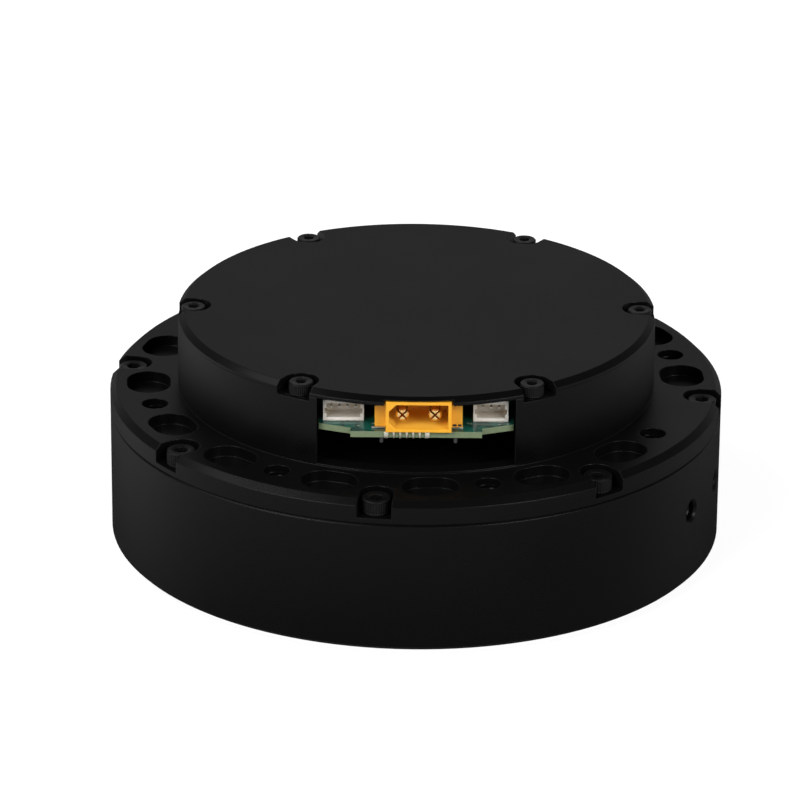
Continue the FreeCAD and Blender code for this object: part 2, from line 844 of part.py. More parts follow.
def planet_gear(index):
    """Planet with a tooth space towards the sun and another towards the ring."""
    azimuth = 360.0 / planet_count * index
    half_pitch = math.pi / planet_teeth
    gear = outer_gear(planet_teeth, planet_bottom, planet_top, math.radians(-90) + half_pitch)
    gear = gear.cut(disc(planet_bush_radius, planet_bottom, planet_top))
    gear.translate(FreeCAD.Vector(0, -planet_orbit, 0))
    return turn(gear, azimuth)


def planet_bush(index):
    bush = washer(planet_bush_radius, planet_pin_radius + running_play,
                  planet_bottom - bush_proud, planet_top + bush_proud)
    bush.translate(FreeCAD.Vector(0, -planet_orbit, 0))
    return turn(bush, 360.0 / planet_count * index)


def planet_pin():
    return disc(planet_pin_radius, pin_seat, carrier_top, 0, -planet_orbit)


def output_flange():
    """Output face, bearing spigot and the three posts that carry the rear carrier plate."""
    groove_top = bearing_top + circlip_thickness
    body = turned([
        (0, 0),
        (output_radius - output_edge, 0),
        (output_radius, output_edge),
        (output_radius, retainer_top),
        (bearing_bore_radius, retainer_top),
        (bearing_bore_radius, bearing_top),
        (bearing_bore_radius - circlip_depth, bearing_top),
        (bearing_bore_radius - circlip_depth, groove_top),
        (bearing_bore_radius, groove_top),
        (bearing_bore_radius, spigot_top),
        (0, spigot_top),
    ])
    post = disc(post_radius, groove_top, carrier_bottom, 0, -post_circle)
    body = body.fuse(spread(post, planet_count, 180.0 / planet_count))
    bolt = disc(tapped_m4_radius, 0, output_bolt_depth, 0, -output_bolt_circle)
    pin = disc(output_dowel_radius, 0, output_dowel_depth, 0, -output_dowel_circle)
    cuts = spread(bolt, output_bolt_count, 180.0 / output_bolt_count)
    cuts += spread(pin, 2)
    cuts += spread(planet_pin(), planet_count)
    cuts += spread(carrier_hole(), planet_count, 180.0 / planet_count)
    cuts.append(disc(output_pilot_radius, 0, output_pilot_depth))
    cuts.append(disc(pilot_bush_radius, pin_seat, spigot_top))
    return body.cut(cuts)


def carrier_hole():
    depth = carrier_screw["grip"] + thread_runout
    return disc(carrier_screw["shank"], carrier_top - depth, carrier_bottom, 0, -post_circle)


def carrier_plate():
    body = disc(carrier_radius, carrier_bottom, carrier_top)
    seat = countersunk_body(carrier_screw, post_circle, carrier_top, -1, screw_clearance)
    cuts = spread(seat, planet_count, 180.0 / planet_count)
    cuts += spread(planet_pin(), planet_count)
    cuts.append(disc(shaft_radius + shaft_hole_gap, carrier_bottom, carrier_top))
    return body.cut(cuts)


def pilot_bush():
    return washer(pilot_bush_radius, journal_radius + running_play, pin_seat, spigot_top)


def circlip():
    """Snap ring that holds the inner race on the spigot."""
    inner = bearing_bore_radius - circlip_depth
    ring = washer(inner + circlip_width, inner, bearing_top, bearing_top + circlip_thickness)
    mouth = block((-circlip_gap / 2, -bearing_bore_radius - circlip_width, bearing_top),
                  (circlip_gap / 2, 0, bearing_top + circlip_thickness))
    return ring.cut(mouth)


def roller_axis():
    """Radius and height of the middle of the roller track."""
    return (bearing_bore_radius + gear_bore_radius) / 2, retainer_top + bearing_width / 2


def roller_track():
    """Square section standing on its corner: the two vee grooves that face each other."""
    radius, height = roller_axis()
    reach = (roller_diameter + 2 * roller_play) / math.sqrt(2.0)
    return turned([(radius - reach, height), (radius, height - reach),
                   (radius + reach, height), (radius, height + reach)])


def bearing_outer_race():
    middle, _ = roller_axis()
    race = washer(gear_bore_radius, middle + bearing_split, retainer_top, bearing_top)
    return race.cut(roller_track())


def bearing_inner_race():
    middle, _ = roller_axis()
    race = washer(middle - bearing_split, bearing_bore_radius, retainer_top, bearing_top)
    return race.cut(roller_track())


def bearing_rollers():
    """Rollers that lean inwards and outwards by turns."""
    radius, height = roller_axis()
    rollers = []
    for place in range(roller_count):
        lean = 1 if place % 2 else -1
        axis = FreeCAD.Vector(0, -lean, 1).normalize()
        start = FreeCAD.Vector(0, -radius, height) - axis * (roller_length / 2)
        roller = Part.makeCylinder(roller_diameter / 2, roller_length, start, axis)
        rollers.append(turn(roller, 360.0 / roller_count * place))
    return rollers


def output_seal():
    inner = output_radius + seal_play
    return washer(inner + seal_width, inner, front_face, retainer_top)


def bearing_retainer():
    """Screwed ring that clamps the outer race and holds the seal."""
    ring = washer(retainer_radius, output_radius + seal_play + seal_width, front_face, retainer_top)
    seat = countersunk_body(retainer_screw, retainer_screw_circle, front_face, 1)
    return ring.cut(spread(seat, retainer_screw_count))


def rotor_bell():
    """Turned web and hub that carry the back iron."""
    body = turned([
        (shaft_radius, web_bottom - rotor_hub_depth),
        (rotor_hub_radius, web_bottom - rotor_hub_depth),
        (rotor_hub_radius, web_bottom),
        (magnet_radius - spigot_width, web_bottom),
        (magnet_radius - spigot_width, web_bottom - spigot_depth),
        (magnet_radius, web_bottom - spigot_depth),
        (magnet_radius, web_bottom),
        (bell_radius, web_bottom),
        (bell_radius, web_top),
        (rotor_hub_radius, web_top),
        (rear_bearing_bore + race_thickness, rear_bearing_bottom),
        (rear_bearing_bore, rear_bearing_bottom),
        (rear_bearing_bore, rear_bearing_top),
        (shaft_radius, rear_bearing_top),
    ])
    middle = (rotor_hub_radius + magnet_radius) / 2
    return body.cut(spread(disc(web_hole_radius, web_bottom, web_top, 0, -middle), web_hole_count))


def rotor_ring():
    return washer(bell_radius, magnet_radius, rotor_bottom, web_bottom)


def rotor_magnets():
    """Arc magnets inside the back iron, with a small gap between neighbours."""
    sweep = 360.0 / magnet_count - magnet_gap_degrees
    bottom = rotor_bottom + magnet_ledge
    corners = [FreeCAD.Vector(magnet_bore, 0, bottom),
               FreeCAD.Vector(magnet_radius, 0, bottom),
               FreeCAD.Vector(magnet_radius, 0, stack_top + magnet_overhang),
               FreeCAD.Vector(magnet_bore, 0, stack_top + magnet_overhang)]
    face = Part.Face(Part.makePolygon(corners + corners[:1]))
    return spread(face.revolve(origin, up, sweep), magnet_count)


def rear_outer_race():
    """Outer race with its two shields."""
    inner = rear_bearing_radius - race_thickness
    reach = rear_bearing_bore + race_thickness + shield_play
    race = washer(rear_bearing_radius, inner, rear_bearing_bottom, rear_bearing_top)
    low = washer(inner, reach, rear_bearing_bottom, rear_bearing_bottom + shield_thickness)
    high = washer(inner, reach, rear_bearing_top - shield_thickness, rear_bearing_top)
    return race.fuse([low, high])


def rear_inner_race():
    return washer(rear_bearing_bore + race_thickness, rear_bearing_bore,
                  rear_bearing_bottom, rear_bearing_top)


def encoder_magnet():
    return disc(encoder_magnet_radius, shaft_top, shaft_top + encoder_magnet_height)


def save(name, shape):
    solids = shape if isinstance(shape, list) else [shape]
    whole = Part.Compound(solids) if len(solids) > 1 else solids[0]
    whole.exportStep("parts/" + name + ".step")


os.makedirs("parts", exist_ok=True)

save("main_housing", main_housing())
save("rear_housing", rear_housing())
save("rear_cover", rear_cover())
save("housing_dowels", dowels())
save("flange_screws", spread(cap_screw(flange_screw, flange_screw_circle, flange_seat),
                             flange_screw_count, flange_screw_azimuth))
save("cover_screws", spread(cap_screw(cover_screw, cover_screw_circle, cover_seat),
                            cover_screw_count, cover_screw_azimuth))
save("control_board", control_board())
save("board_screws", [turn(cap_screw(board_screw, standoff_circle, board_top), azimuth)
                      for azimuth in standoff_azimuths])
save("power_socket", power_socket())
save("power_pins", power_pins())
save("power_pegs", power_pegs())
save("edge_pads", edge_pads())
save("data_socket_left", data_socket(data_left))
save("data_socket_right", data_socket(data_right))
save("data_contacts", data_contacts())
save("power_transistors", power_transistors())
save("bus_capacitors", bus_capacitors())
save("motor_controller", motor_controller())
save("encoder_chip", encoder_chip())
save("stator_core", stator_core())
save("stator_windings", stator_windings())
save("phase_leads", phase_leads())
save("ring_gear", ring_gear())
save("output_bearing_outer", bearing_outer_race())
save("bearing_retainer", bearing_retainer())
save("retainer_screws", spread(countersunk_screw(retainer_screw, retainer_screw_circle, front_face, 1),
                               retainer_screw_count))
save("output_seal", output_seal())
save("rear_bearing_outer", rear_outer_race())
save("output_flange", output_flange())
save("carrier_plate", carrier_plate())
save("carrier_screws", spread(countersunk_screw(carrier_screw, post_circle, carrier_top, -1),
                              planet_count, 180.0 / planet_count))
save("planet_pins", spread(planet_pin(), planet_count))
save("pilot_bush", pilot_bush())
save("output_circlip", circlip())
save("output_bearing_inner", bearing_inner_race())
save("output_bearing_rollers", bearing_rollers())
save("sun_gear", sun_gear())
save("rotor_bell", rotor_bell())
save("rotor_ring", rotor_ring())
save("rotor_magnets", rotor_magnets())
save("rear_bearing_inner", rear_inner_race())
save("encoder_magnet", encoder_magnet())
for index in range(planet_count):
    save("planet_gear_" + str(index + 1), planet_gear(index))
    save("planet_bush_" + str(index + 1), planet_bush(index))
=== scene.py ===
import bmesh
import bpy
import json
import math
from mathutils import Matrix, Vector


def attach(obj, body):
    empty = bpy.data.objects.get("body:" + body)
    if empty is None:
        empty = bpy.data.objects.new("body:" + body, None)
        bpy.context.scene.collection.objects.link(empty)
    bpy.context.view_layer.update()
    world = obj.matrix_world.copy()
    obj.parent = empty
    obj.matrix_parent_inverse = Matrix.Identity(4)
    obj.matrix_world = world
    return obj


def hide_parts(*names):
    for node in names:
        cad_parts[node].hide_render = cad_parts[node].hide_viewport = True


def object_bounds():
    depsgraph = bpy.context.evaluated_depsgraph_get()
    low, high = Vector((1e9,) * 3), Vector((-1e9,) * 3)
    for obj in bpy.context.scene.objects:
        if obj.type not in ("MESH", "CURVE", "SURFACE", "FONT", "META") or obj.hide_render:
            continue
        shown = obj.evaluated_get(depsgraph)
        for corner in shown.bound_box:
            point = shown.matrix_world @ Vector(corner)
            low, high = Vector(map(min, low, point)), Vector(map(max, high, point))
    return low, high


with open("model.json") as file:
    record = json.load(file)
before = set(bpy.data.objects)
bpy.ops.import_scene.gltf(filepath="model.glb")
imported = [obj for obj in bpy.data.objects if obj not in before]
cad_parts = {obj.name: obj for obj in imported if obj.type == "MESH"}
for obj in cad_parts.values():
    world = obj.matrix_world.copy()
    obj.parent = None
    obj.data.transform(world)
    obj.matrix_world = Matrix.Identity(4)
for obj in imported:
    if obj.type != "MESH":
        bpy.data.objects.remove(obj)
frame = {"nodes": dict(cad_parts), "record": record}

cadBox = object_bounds()
scene = bpy.context.scene
nodes = frame["nodes"]
mm = 0.001
print("frame loaded:", len(nodes), "nodes")


class Wire:
    # a shader socket that takes part in sums
    def __init__(self, finish, socket):
        self.finish = finish
        self.socket = socket

    def reckon(self, operation, first, second=0.5):
        return self.finish.add("ShaderNodeMath", {"operation": operation}, {0: first, 1: second})

    def __add__(self, other):
        return self.reckon("ADD", self, other)

    def __radd__(self, other):
        return self.reckon("ADD", other, self)

    def __sub__(self, other):
        return self.reckon("SUBTRACT", self, other)

    def __rsub__(self, other):
        return self.reckon("SUBTRACT", other, self)

    def __mul__(self, other):
        return self.reckon("MULTIPLY", self, other)

    def __rmul__(self, other):
        return self.reckon("MULTIPLY", other, self)

    def __truediv__(self, other):
        return self.reckon("DIVIDE", self, other)

    def __rtruediv__(self, other):
        return self.reckon("DIVIDE", other, self)

    def __pow__(self, other):
        return self.reckon("POWER", self, other)

    def __rpow__(self, other):
        return self.reckon("POWER", other, self)

    # Python turns 1 < wire round by itself
    def __gt__(self, other):
        return self.reckon("GREATER_THAN", self, other)

    def __lt__(self, other):
        return self.reckon("LESS_THAN", self, other)

    def __abs__(self):
        return self.reckon("ABSOLUTE", self)


bevel = {"samples": 6, "edgeFrom": 0.01, "edgeTo": 0.12}


class Finish:
    # one material, or the world, with the few moves every finish here is made from
    def __init__(self, name, tree=None):
        if tree is None:
            self.material = bpy.data.materials.new(name)
            self.material.use_nodes = True
            tree = self.material.node_tree
        self.tree = tree
        self.tree.nodes.clear()

    def add(self, kind, settings=None, inputs=None, output=0):
        node = self.tree.nodes.new(kind)
        for key, value in (settings or {}).items():
            setattr(node, key, value)
        for key, value in (inputs or {}).items():
            if isinstance(value, Wire):
                self.tree.links.new(value.socket, node.inputs[key])
            else:
                node.inputs[key].default_value = value
        return Wire(self, node.outputs[output] if len(node.outputs) else None)

    def place(self):
        return self.add("ShaderNodeTexCoord", output="Object")

    def split(self, vector):
        node = self.add("ShaderNodeSeparateXYZ", inputs={0: vector}).socket.node
        return [Wire(self, node.outputs[i]) for i in range(3)]

    def noise(self, scale, detail=2.0, roughness=0.5):
        return self.add("ShaderNodeTexNoise", inputs={
            "Vector": self.place(), "Scale": scale, "Detail": detail, "Roughness": roughness})

    def fit(self, value, low, high, newLow=0.0, newHigh=1.0):
        return self.add("ShaderNodeMapRange", {"clamp": True}, {
            "Value": value, "From Min": low, "From Max": high, "To Min": newLow, "To Max": newHigh})

    def mix(self, factor, first, second):
        colours = [c if isinstance(c, Wire) else (*c, 1.0) for c in (first, second)]
        return self.add("ShaderNodeMix", {"data_type": "RGBA"}, {
            0: factor, 6: colours[0], 7: colours[1]}, output=2)

    def rounded(self, radius):
        return self.add("ShaderNodeBevel", {"samples": bevel["samples"]}, {"Radius": radius})

    def edges(self, radius):
        # 1 on sharp edges, 0 on the flats
        true = self.add("ShaderNodeNewGeometry", output="Normal")
        dot = self.add("ShaderNodeVectorMath", {"operation": "DOT_PRODUCT"},
                       {0: self.rounded(radius), 1: true}, output="Value")
        return self.fit(1 - dot, bevel["edgeFrom"], bevel["edgeTo"])

    def grazing(self):
        return self.add("ShaderNodeLayerWeight", inputs={"Blend": 0.5}, output="Facing")

    def fraction(self, value):
        return self.add("ShaderNodeMath", {"operation": "FRACT"}, {0: value})

    def bump(self, height, distance, strength, over=None):
        inputs = {"Height": height, "Distance": distance, "Strength": strength}
        if over:
            inputs["Normal"] = over
        return self.add("ShaderNodeBump", inputs=inputs)

    def surface(self, sockets):
        shader = self.add("ShaderNodeBsdfPrincipled", inputs=sockets)
        self.add("ShaderNodeOutputMaterial", inputs={"Surface": shader})
        return self.material


anodising = {
    "tone": (0.0017, 0.0017, 0.0018), "pale": (0.0028, 0.0028, 0.0029),
    "wornAndHighlight": (0.011, 0.011, 0.0115),
    "patches": (60, 3), "grain": (5200, 2, 0.7), "wearAndHighlight": (420, 4),  # scale, detail, roughness
    "wearAndHighlightRange": (0.35, 0.65, 0.3, 1.0), "edge": 0.20 * mm,
    "rough": 0.25, "grazing": 0.60, "patchRough": 0.08, "grainRough": 0.10,
    "relief": (0.010 * mm, 0.5), "gloss": 0.115,
}


def blackAnodised():
    # bead-blasted and dyed; its edges are painted a little paler, partly as wear and partly as
    # painted edge highlight
    f = Finish("blackAnodised")
    patches = f.noise(*anodising["patches"])
    grain = f.noise(*anodising["grain"])
    edge = f.edges(anodising["edge"])
    tone = f.mix(patches, anodising["tone"], anodising["pale"])
    wearAndHighlight = f.fit(f.noise(*anodising["wearAndHighlight"]), *anodising["wearAndHighlightRange"])
    rough = anodising["rough"] + (patches - 0.5) * anodising["patchRough"]
    rough = rough + (grain - 0.5) * anodising["grainRough"]
    return f.surface({
        # paler edges: edge wear, and also a painted edge highlight
        "Base Color": f.mix(edge * wearAndHighlight, tone, anodising["wornAndHighlight"]),
        "Roughness": rough + f.grazing() ** 2.0 * anodising["grazing"],
        "Normal": f.bump(grain, *anodising["relief"], f.rounded(anodising["edge"])),
        "Specular IOR Level": anodising["gloss"]})


oxide = {
    "tone": (0.0022, 0.0022, 0.0024), "pale": (0.0045, 0.0045, 0.0048),
    "wornAndHighlight": (0.020, 0.020, 0.021),
    "patches": (900, 4), "grain": (3800, 2), "edge": 0.09 * mm,
    "rough": 0.34, "patchRough": 0.14, "relief": (0.008 * mm, 0.5), "gloss": 0.13,
}


def blackOxide():
    f = Finish("blackOxide")
    patches = f.noise(*oxide["patches"])
    tone = f.mix(patches, oxide["tone"], oxide["pale"])
    grain = f.noise(*oxide["grain"])
    return f.surface({
        # paler edges: edge wear, and also a painted edge highlight
        "Base Color": f.mix(f.edges(oxide["edge"]), tone, oxide["wornAndHighlight"]),
        "Roughness": oxide["rough"] + patches * oxide["patchRough"],
        "Normal": f.bump(grain, *oxide["relief"], f.rounded(oxide["edge"])),
        "Specular IOR Level": oxide["gloss"]})


metals = {
    # slot: dull tone, bright tone, low roughness, high roughness, grain scale
    "steel": ((0.36, 0.36, 0.37), (0.55, 0.55, 0.56), 0.24, 0.40, 1800),
    "spring_steel": ((0.10, 0.10, 0.11), (0.20, 0.20, 0.21), 0.34, 0.50, 1500),
    "bearing_steel": ((0.52, 0.52, 0.53), (0.66, 0.66, 0.67), 0.10, 0.22, 2600),
    "capacitor_can": ((0.52, 0.53, 0.55), (0.70, 0.70, 0.72), 0.28, 0.42, 1600),
    "gold": ((0.72, 0.42, 0.13), (0.93, 0.66, 0.28), 0.16, 0.30, 2200),
    "tin": ((0.42, 0.42, 0.40), (0.66, 0.65, 0.60), 0.34, 0.52, 1900),
    "bronze": ((0.36, 0.20, 0.07), (0.60, 0.38, 0.16), 0.34, 0.55, 2600),
    # tin painted dark as shade, for the pegs and their solder under the board
    "shaded_tin": ((0.09, 0.09, 0.09), (0.20, 0.20, 0.19), 0.40, 0.55, 1900),
    "warm_tin": ((0.62, 0.60, 0.48), (0.88, 0.86, 0.74), 0.36, 0.52, 1900),
    "magnet": ((0.46, 0.46, 0.48), (0.62, 0.62, 0.64), 0.20, 0.34, 1200),
}
metalSkin = {
    "stainShare": 1 / 9, "grainMix": 0.6, "toneRange": (0.35, 0.65), "roughRange": (0.3, 0.7),
    "relief": (0.006 * mm, 0.35), "edge": 0.08 * mm,
}


def metal(slotName):
    dull, bright, low, high, scale = metals[slotName]
    f = Finish(slotName)
    grain = f.noise(scale, 4, 0.6)
    stain = f.noise(scale * metalSkin["stainShare"], 3)
    cloud = grain * metalSkin["grainMix"] + stain * (1 - metalSkin["grainMix"])
    return f.surface({
        "Base Color": f.mix(f.fit(cloud, *metalSkin["toneRange"]), dull, bright),
        "Roughness": f.fit(stain, *metalSkin["roughRange"], low, high),
        "Normal": f.bump(grain, *metalSkin["relief"], f.rounded(metalSkin["edge"])),
        "Metallic": 1.0})


sheetLook = {
    "pitch": 0.35 * mm, "gap": 0.16, "gapTone": (0.025, 0.025, 0.028), "gapRough": 0.3,
    "dull": (0.10, 0.10, 0.11), "bright": (0.19, 0.19, 0.20), "patches": (700, 3),
    "rough": 0.42, "relief": (0.03 * mm, 0.7),
}


def lamination():
    # stacked sheets, each with a dark line above it
    f = Finish("lamination")
    height = f.split(f.place())[2]
    gap = f.fraction(height / sheetLook["pitch"]) < sheetLook["gap"]
    tone = f.mix(f.noise(*sheetLook["patches"]), sheetLook["dull"], sheetLook["bright"])
    return f.surface({
        "Base Color": f.mix(gap, tone, sheetLook["gapTone"]),
        "Roughness": sheetLook["rough"] + gap * sheetLook["gapRough"],
        "Normal": f.bump(1 - gap, *sheetLook["relief"]),
        "Metallic": 0.8})


boardLook = {
    "mask": (0.004, 0.052, 0.040), "copper": (0.008, 0.105, 0.078), "via": (0.30, 0.30, 0.26),
    "fibre": (0.14, 0.18, 0.10), "paleFibre": (0.21, 0.27, 0.15),
    "rough": 0.30, "sawnRough": 0.35, "lacquer": 0.35, "edge": 0.06 * mm,
    "relief": (0.02 * mm, 0.6),
    "trackScale": 330, "trackGap": (0.055, 0.085), "viaScale": 460, "viaSize": 0.11,
    "weave": (2400, 3, 0.6),
}


def circuitBoard():
    # green mask over copper, with bare glass fibre on the sawn sides
    f = Finish("circuitBoard")
    place = f.place()
    facing = f.split(f.add("ShaderNodeNewGeometry", output="Normal"))[2]
    side = abs(facing) < 0.5
    pours = f.add("ShaderNodeTexVoronoi", {"feature": "DISTANCE_TO_EDGE", "distance": "EUCLIDEAN"},
                  {"Vector": place, "Scale": boardLook["trackScale"], "Randomness": 0.85},
                  output="Distance")
    tracks = f.fit(pours, *boardLook["trackGap"])
    vias = f.add("ShaderNodeTexVoronoi", inputs={"Vector": place, "Scale": boardLook["viaScale"]},
                 output="Distance")
    via = vias < boardLook["viaSize"]
    top = f.mix(tracks, boardLook["mask"], boardLook["copper"])
    top = f.mix(via, top, boardLook["via"])
    weave = f.noise(*boardLook["weave"])
    sawn = f.mix(weave, boardLook["fibre"], boardLook["paleFibre"])
    relief = tracks * 0.7 + via * 0.3
    return f.surface({
        "Base Color": f.mix(side, top, sawn),
        "Roughness": boardLook["rough"] + side * boardLook["sawnRough"],
        "Normal": f.bump(relief, *boardLook["relief"], f.rounded(boardLook["edge"])),
        "Coat Weight": boardLook["lacquer"] * (1 - side)})


plastics = {
    # slot: tone, second tone, roughness, edge radius
    "chip_plastic": ((0.012, 0.012, 0.013), (0.022, 0.022, 0.024), 0.52, 0.08 * mm),
    "rubber": ((0.012, 0.012, 0.012), (0.022, 0.021, 0.021), 0.68, 0.10 * mm),
    "socket_plastic": ((0.92, 0.40, 0.018), (1.0, 0.50, 0.035), 0.38, 0.14 * mm),
    "ivory_plastic": ((0.84, 0.79, 0.71), (0.93, 0.89, 0.83), 0.46, 0.10 * mm),
}
mouthShading = {
    # slot: painted tone in the mouth (painted shade, or painted bounce light in the orange socket),
    # middle across, half across, front, bottom, top
    "socket_plastic": ((1.0, 0.55, 0.058), 0.36 * mm, 4.6 * mm, -37.3 * mm, 33.2 * mm, 37.4 * mm),
    "ivory_plastic": ((0.73, 0.66, 0.56), 0.0, 15.0 * mm, -32.65 * mm, 32.9 * mm, 35.8 * mm),
}
# how far from the front the painted mouth tone fades in, and the painted shade on the mouth's floor
mouthLook = {"depth": 0.5 * mm, "floor": 0.25 * mm, "floorShadeShare": 0.95}


mouldSkin = {"flow": (500, 3), "skin": (4200, 2, 0.6), "flowRough": 0.08, "skinRough": 0.12,
             "relief": (0.010 * mm, 0.5)}


def moulded(slotName):
    tone, second, rough, edge = plastics[slotName]
    f = Finish(slotName)
    flow = f.noise(*mouldSkin["flow"])
    skin = f.noise(*mouldSkin["skin"])
    colour = f.mix(flow, tone, second)
    if slotName in mouthShading:
        # painted shade in the socket's mouth, fading in from its front and darker again on its
        # floor; in the orange socket the painted tone is redder and brighter, as painted bounce
        # light
        paintedMouthTone, middle, half, front, bottom, top = mouthShading[slotName]
        across, along, height = f.split(f.place())
        within = (abs(across - middle) < half) * (height > bottom) * (height < top)
        depth = f.fit(along, front, front + mouthLook["depth"])
        paintedFloorShade = tuple(mouthLook["floorShadeShare"] * part for part in paintedMouthTone)
        paintedInside = f.mix(height < bottom + mouthLook["floor"], paintedMouthTone, paintedFloorShade)
        colour = f.mix(within * depth, colour, paintedInside)
    rough = rough + (skin - 0.5) * mouldSkin["skinRough"] + (flow - 0.5) * mouldSkin["flowRough"]
    return f.surface({
        "Base Color": colour,
        "Roughness": rough,
        "Normal": f.bump(skin, *mouldSkin["relief"], f.rounded(edge))})


wireLook = {
    "pitch": 0.42 * mm, "gap": (0.05, 0.016, 0.006), "gapRange": (0.05, 0.45),
    "dull": (0.42, 0.15, 0.055), "bright": (0.66, 0.27, 0.11), "patches": (1600, 3),
    "smears": (900, 2), "roughRange": (0.3, 0.7, 0.24, 0.38), "relief": (0.08 * mm, 0.8),
}


def woundCopper():
    # enamelled turns, each at its own radius from the joint axis
    f = Finish("woundCopper")
    across, along, height = f.split(f.place())
    radius = (across * across + along * along) ** 0.5
    turn = f.fraction(radius / wireLook["pitch"])
    swell = 1 - (turn * 2 - 1) ** 2
    tone = f.mix(f.noise(*wireLook["patches"]), wireLook["dull"], wireLook["bright"])
    return f.surface({
        "Base Color": f.mix(f.fit(swell, *wireLook["gapRange"]), wireLook["gap"], tone),
        "Roughness": f.fit(f.noise(*wireLook["smears"]), *wireLook["roughRange"]),
        "Normal": f.bump(swell, *wireLook["relief"]),
        "Metallic": 0.9})


finishes = {"black_anodised": blackAnodised(), "black_steel": blackOxide(),
            "lamination": lamination(), "board": circuitBoard(), "copper": woundCopper()}
for slotName in metals:
    finishes[slotName] = metal(slotName)
for slotName in plastics:
    finishes[slotName] = moulded(slotName)
slotOf = {part["node"]: part["material_slot"] for part in frame["record"]["subparts"]}
# the pegs take the tin painted dark as shade
slotOf["power_pegs"] = "shaded_tin"
for name, node in nodes.items():
    node.data.materials.clear()
    node.data.materials.append(finishes[slotOf[name]])
print("finishes:", len(finishes))


def meshOf(bm, name):
    mesh = bpy.data.meshes.new(name)
    bm.to_mesh(mesh)
    bm.free()
    return mesh


def addPiece(name, mesh, body, slotName, look=None):
    piece = bpy.data.objects.new(name, mesh)
    scene.collection.objects.link(piece)
    mesh.materials.append(finishes[look or slotName])
    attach(piece, body)
    return piece


def addSmooth(name, bm, body, slotName, look=None):
    mesh = meshOf(bm, name)
    mesh.shade_smooth()
    return addPiece(name, mesh, body, slotName, look)


def ringPoints(bm, count, height, radiusAt):
    corners = []
    for i in range(count):
        angle = 2 * math.pi * i / count
        radius = radiusAt(i, angle)
        corners.append(bm.verts.new((radius * math.cos(angle), radius * math.sin(angle), height)))
    return corners


def bridge(bm, rings):
    # walls from each closed ring to the next
    for low, high in zip(rings, rings[1:]):
        count = len(low)
        for i in range(count):
            bm.faces.new((low[i], low[(i + 1) % count], high[(i + 1) % count], high[i]))


def strip(bm, first, second):
    # one row of faces between two open rows of corners
    for k in range(len(first) - 1):
        bm.faces.new((first[k], first[k + 1], second[k + 1], second[k]))


weldGap = 0.002 * mm


def solidsOf(node):
    # the lowest and highest corner of every separate solid in a node
    bm = bmesh.new()
    bm.from_mesh(node.data)
    bmesh.ops.remove_doubles(bm, verts=bm.verts, dist=weldGap)
    waiting = set(bm.verts)
    boxes = []
    while waiting:
        stack = [waiting.pop()]
        found = list(stack)
        while stack:
            for edge in stack.pop().link_edges:
                for vert in edge.verts:
                    if vert in waiting:
                        waiting.remove(vert)
                        stack.append(vert)
                        found.append(vert)
        low = Vector([min(v.co[k] for v in found) for k in range(3)])
        high = Vector([max(v.co[k] for v in found) for k in range(3)])
        boxes.append((low, high))
    bm.free()
    return sorted(boxes, key=lambda b: math.atan2(b[0].x + b[1].x, -b[0].y - b[1].y))


capScrews = {
    "flange_screws": {"shank": 1.25 * mm, "head": 2.25 * mm, "height": 2.4 * mm, "hex": 2.0 * mm,
                      "grip": 8.0 * mm, "pitch": 0.45 * mm},
    "cover_screws": {"shank": 1.0 * mm, "head": 1.9 * mm, "height": 1.9 * mm, "hex": 1.5 * mm,
                     "grip": 6.0 * mm, "pitch": 0.40 * mm},
}
screwLook = {
    "ridges": 36, "ridgeDepth": 0.10 * mm, "chamfer": 0.16 * mm,  # knurled rim of the head
    "bandLow": 0.12, "bandHigh": 0.84, "bandEdge": 0.05 * mm,  # its height, in shares of the head's
    "footInset": 0.12 * mm, "footHeight": 0.10 * mm,
    "rim": 0.66, "rimDepth": 0.10 * mm,  # mouth of the hexagon socket
    "socketFloor": 0.45, "pointFloor": 0.36, "pointRadius": 0.12,  # its floor and drill point
    "threadRoot": 0.22, "threadHeight": 0.20, "threadEnd": 0.15,  # in shares of the pitch
    "threadSteps": 48, "tipCorners": 24, "sharpAngle": 28, "turnEach": 23,
}


def headProfile(size):
    # height and outline of each ring, from the seat up and down into the socket
    head = size["head"]
    tall = size["height"]
    chamfer = screwLook["chamfer"]
    low = screwLook["bandLow"] * tall
    high = screwLook["bandHigh"] * tall
    bandEdge = screwLook["bandEdge"]

    def plain(radius):
        return lambda i, angle: radius

    def knurled(i, angle):
        return head - screwLook["ridgeDepth"] * (0.0, 0.5, 1.0, 0.5)[i % 4]

    def hexagon(i, angle):
        turn = (angle + math.pi / 6) % (math.pi / 3) - math.pi / 6
        return size["hex"] / 2 / math.cos(turn)

    return [
        (0.0, plain(size["shank"])), (0.0, plain(head - screwLook["footInset"])),
        (screwLook["footHeight"], plain(head)), (low, plain(head)),
        (low + bandEdge, knurled), (high - bandEdge, knurled),
        (high, plain(head)), (tall - chamfer, plain(head)),
        (tall, plain(head - chamfer)), (tall, plain(size["hex"] * screwLook["rim"])),
        (tall - screwLook["rimDepth"], hexagon), (tall * screwLook["socketFloor"], hexagon),
        (tall * screwLook["pointFloor"], plain(size["hex"] * screwLook["pointRadius"])),
    ]


